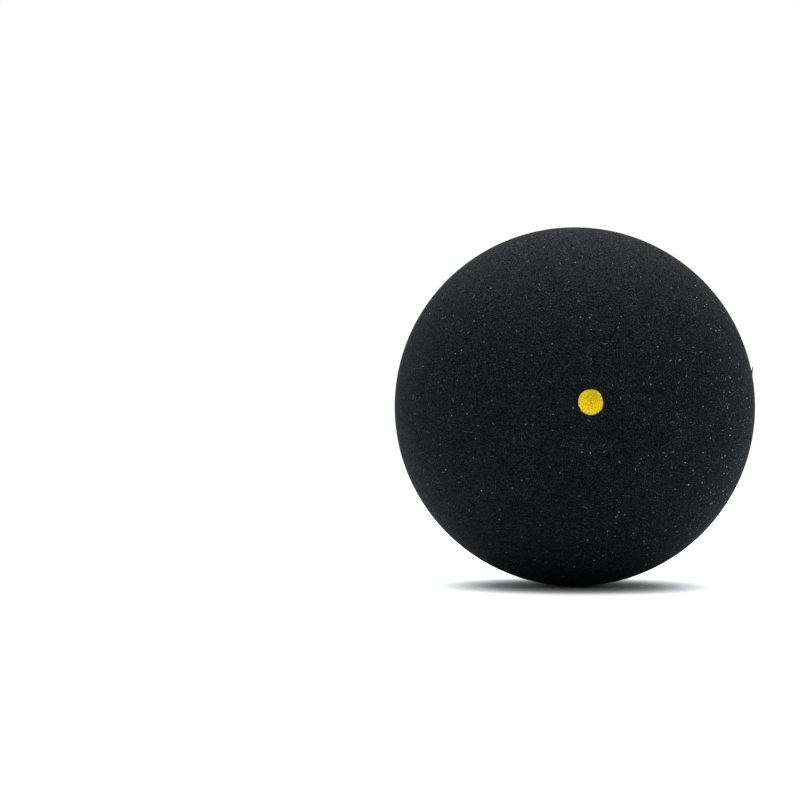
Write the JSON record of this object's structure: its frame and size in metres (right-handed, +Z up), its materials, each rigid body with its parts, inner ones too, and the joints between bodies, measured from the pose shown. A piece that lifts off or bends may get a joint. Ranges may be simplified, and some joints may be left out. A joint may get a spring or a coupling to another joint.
{
  "type": "squash ball",
  "caption": "Hollow matte black rubber ball, moulded as half shells cemented rim to rim, with a yellow speed dot in a dimple and a pale printed mark; struck with a racket.",
  "frame": {"origin": "centre of the ball", "axes": "+Z up, -Y through the middle of the speed dot, +Y through the middle of the printed mark; the seam lies in the XZ plane"},
  "size_m": [0.04, 0.04, 0.04],
  "materials": {
    "black_rubber": "matte, fine grain",
    "rubber_cement": "matte",
    "yellow_paint": "semi-matte paint",
    "pale_ink": "matte ink film"
  },
  "bodies": {
    "root": {"dot_half_shell": "black_rubber", "print_half_shell": "black_rubber", "seam_cement": "rubber_cement", "speed_dot": "yellow_paint", "print_ring": "pale_ink", "print_emblem": "pale_ink"}
  },
  "joints": []
}
